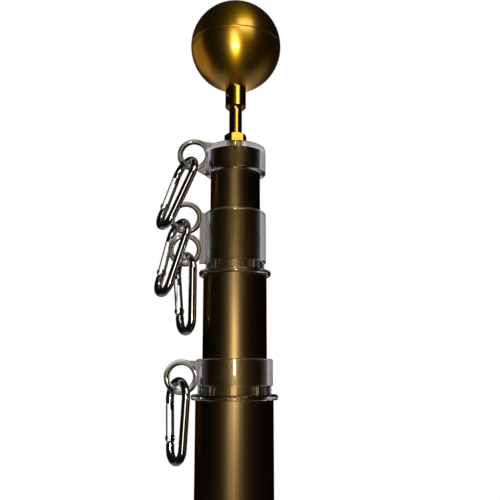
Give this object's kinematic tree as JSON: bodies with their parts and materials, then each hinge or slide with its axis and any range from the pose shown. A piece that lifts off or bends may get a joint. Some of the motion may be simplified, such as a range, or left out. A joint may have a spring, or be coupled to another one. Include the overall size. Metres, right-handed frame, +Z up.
{
  "type": "telescoping flagpole",
  "caption": "Telescoping flagpole, stored collapsed: bronze sliding tubes with clear collars, clear swivel rings with spring-gate snap hooks, and a gold ball finial.",
  "frame": {"origin": "on the pole's axis at ground level, on the flat face of the foot plug", "axes": "+Z up the pole, the swivel rings' eyes towards -X, -Y is the picture's near side"},
  "size_m": [0.1019, 0.075, 1.8375],
  "materials": {
    "bronze_anodised": "satin",
    "gold_anodised": "satin",
    "clear_plastic": "moulded clear",
    "black_plastic": "moulded",
    "steel_hook": "polished"
  },
  "bodies": {
    "ground_section": {"outer_tube": "bronze_anodised", "outer_collar": "clear_plastic", "base_plug": "black_plastic"},
    "middle_section": {"middle_tube": "bronze_anodised", "middle_collar": "clear_plastic", "middle_guide": "black_plastic"},
    "top_section": {"top_tube": "bronze_anodised", "top_guide": "black_plastic", "top_plug": "black_plastic", "finial_stud": "gold_anodised", "finial_washer": "gold_anodised", "finial_nut": "gold_anodised", "finial_ferrule": "gold_anodised", "ferrule_screw": "steel_hook", "ball_lower_half": "gold_anodised", "ball_upper_half": "gold_anodised"},
    "cap_swivel_ring": {"cap_ring": "clear_plastic"},
    "double_swivel_ring": {"double_ring": "clear_plastic"},
    "single_swivel_ring": {"single_ring": "clear_plastic"},
    "cap_snap": {"cap_hook": "steel_hook", "cap_hook_rivet": "steel_hook"},
    "cap_snap_gate": {"cap_hook_gate": "steel_hook"},
    "upper_snap": {"upper_hook": "steel_hook", "upper_hook_rivet": "steel_hook"},
    "upper_snap_gate": {"upper_hook_gate": "steel_hook"},
    "lower_snap": {"lower_hook": "steel_hook", "lower_hook_rivet": "steel_hook"},
    "lower_snap_gate": {"lower_hook_gate": "steel_hook"},
    "single_snap": {"single_hook": "steel_hook", "single_hook_rivet": "steel_hook"},
    "single_snap_gate": {"single_hook_gate": "steel_hook"}
  },
  "joints": [
    {"name": "middle_slide", "type": "slide", "parent": "ground_section", "child": "middle_section", "axis": [0, 0, 1], "range_m": [0, 1.317]},
    {"name": "top_slide", "type": "slide", "parent": "middle_section", "child": "top_section", "axis": [0, 0, 1], "range_m": [0, 1.409]},
    {"name": "cap_swivel", "type": "hinge", "parent": "top_section", "child": "cap_swivel_ring", "pos_m": [0, 0, 1.7105], "axis": [0, 0, 1], "continuous": true},
    {"name": "double_swivel", "type": "hinge", "parent": "middle_section", "child": "double_swivel_ring", "pos_m": [0, 0, 1.6567], "axis": [0, 0, 1], "continuous": true},
    {"name": "single_swivel", "type": "hinge", "parent": "ground_section", "child": "single_swivel_ring", "pos_m": [0, 0, 1.5407], "axis": [0, 0, 1], "continuous": true},
    {"name": "cap_hook_swing", "type": "hinge", "parent": "cap_swivel_ring", "child": "cap_snap", "pos_m": [-0.0338, 0, 1.7055], "axis": [0, 1, 0], "range_deg": [0, 85]},
    {"name": "cap_gate_hinge", "type": "hinge", "parent": "cap_snap", "child": "cap_snap_gate", "pos_m": [-0.05733, 0.00674, 1.66321], "axis": [0.7512, 0.5736, -0.3266], "range_deg": [0, 15], "stiffness_Nm_per_rad": 0.25, "springref_deg": -17.19},
    {"name": "upper_hook_swing", "type": "hinge", "parent": "double_swivel_ring", "child": "upper_snap", "pos_m": [-0.0396, 0, 1.6529], "axis": [0, 1, 0], "range_deg": [0, 30]},
    {"name": "upper_gate_hinge", "type": "hinge", "parent": "upper_snap", "child": "upper_snap_gate", "pos_m": [-0.05912, 0.00797, 1.60955], "axis": [0.7812, 0.5736, -0.2463], "range_deg": [0, 15], "stiffness_Nm_per_rad": 0.25, "springref_deg": -17.19},
    {"name": "lower_hook_swing", "type": "hinge", "parent": "double_swivel_ring", "child": "lower_snap", "pos_m": [-0.0396, 0, 1.6268], "axis": [0, 1, 0], "range_deg": [0, 12]},
    {"name": "lower_gate_hinge", "type": "hinge", "parent": "lower_snap", "child": "lower_snap_gate", "pos_m": [-0.04403, 0.00633, 1.57839], "axis": [0.8192, 0.5736, 0], "range_deg": [0, 15], "stiffness_Nm_per_rad": 0.25, "springref_deg": -17.19},
    {"name": "single_hook_swing", "type": "hinge", "parent": "single_swivel_ring", "child": "single_snap", "pos_m": [-0.041, 0, 1.5272], "axis": [0, 1, 0], "range_deg": [0, 85]},
    {"name": "single_gate_hinge", "type": "hinge", "parent": "single_snap", "child": "single_snap_gate", "pos_m": [-0.04957, 0.00879, 1.48117], "axis": [0.818, 0.5736, -0.0429], "range_deg": [0, 15], "stiffness_Nm_per_rad": 0.25, "springref_deg": -17.19}
  ]
}
